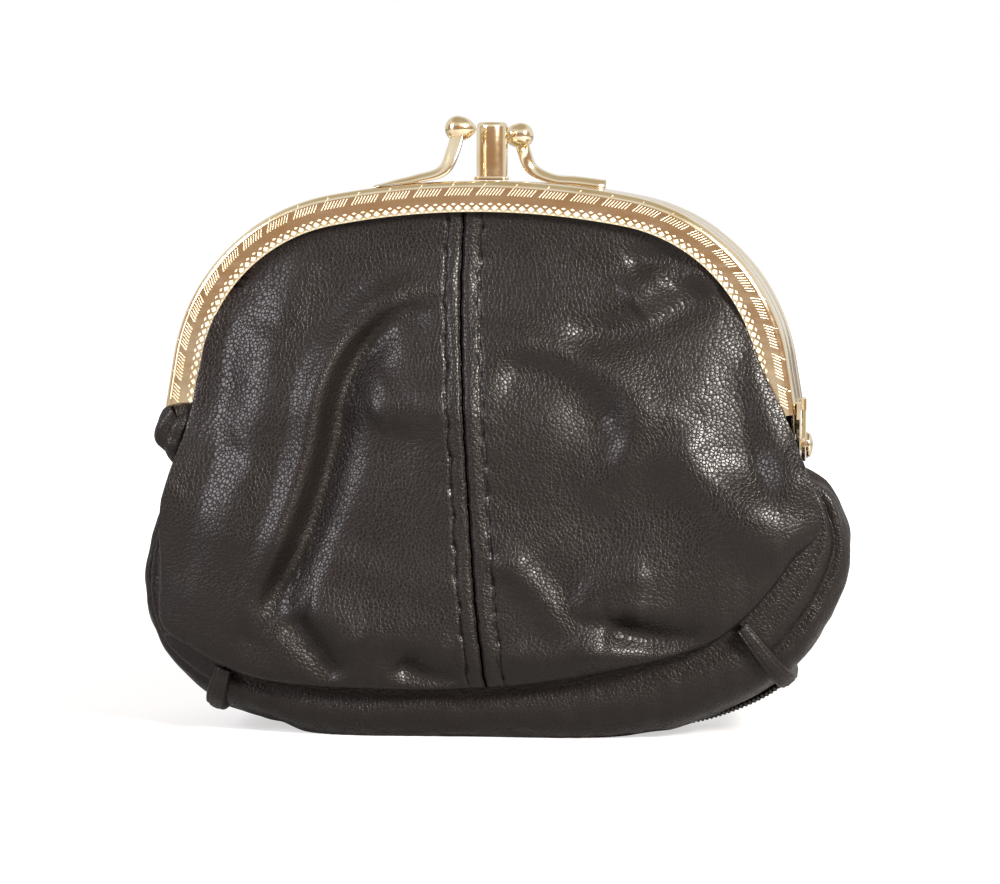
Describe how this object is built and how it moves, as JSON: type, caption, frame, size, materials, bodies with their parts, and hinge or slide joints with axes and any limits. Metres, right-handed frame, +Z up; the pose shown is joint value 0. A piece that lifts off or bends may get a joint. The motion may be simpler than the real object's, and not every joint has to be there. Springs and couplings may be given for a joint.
{
  "type": "leather purse",
  "caption": "Soft black leather purse with arched pale gold snap frames, ball clasp levers on top, gathered sides and a zip along the bottom between leather tabs.",
  "frame": {"origin": "middle of the footprint, on the surface that the purse stands on", "axes": "+X to the viewer's right along the mouth, -Y out of the front with the pictured face, +Z up to the clasp"},
  "size_m": [0.108, 0.0372, 0.0941],
  "materials": {
    "leather": "semi-gloss pebble-grained brown-black leather",
    "zip_tape": "matt woven black tape",
    "zip_teeth": "black nylon coil",
    "zip_slider": "black lacquered metal",
    "frame_metal": "polished pale gold plating"
  },
  "bodies": {
    "root": {"front_panel_left": "leather", "front_panel_right": "leather", "back_panel_left": "leather", "back_panel_right": "leather", "bottom_band_front": "leather", "bottom_band_back": "leather", "gusset_left": "leather", "gusset_right": "leather", "tab_left": "leather", "tab_right": "leather", "divider": "leather", "zip_tape_front": "zip_tape", "zip_tape_back": "zip_tape", "zip_chain": "zip_teeth", "zip_slider": "zip_slider", "front_frame": "frame_metal", "middle_frame": "frame_metal", "back_frame": "frame_metal", "front_clasp_lever": "frame_metal", "back_clasp_lever": "frame_metal", "clasp_post": "frame_metal", "hinge_rivet_left": "frame_metal", "hinge_rivet_right": "frame_metal"}
  },
  "joints": []
}
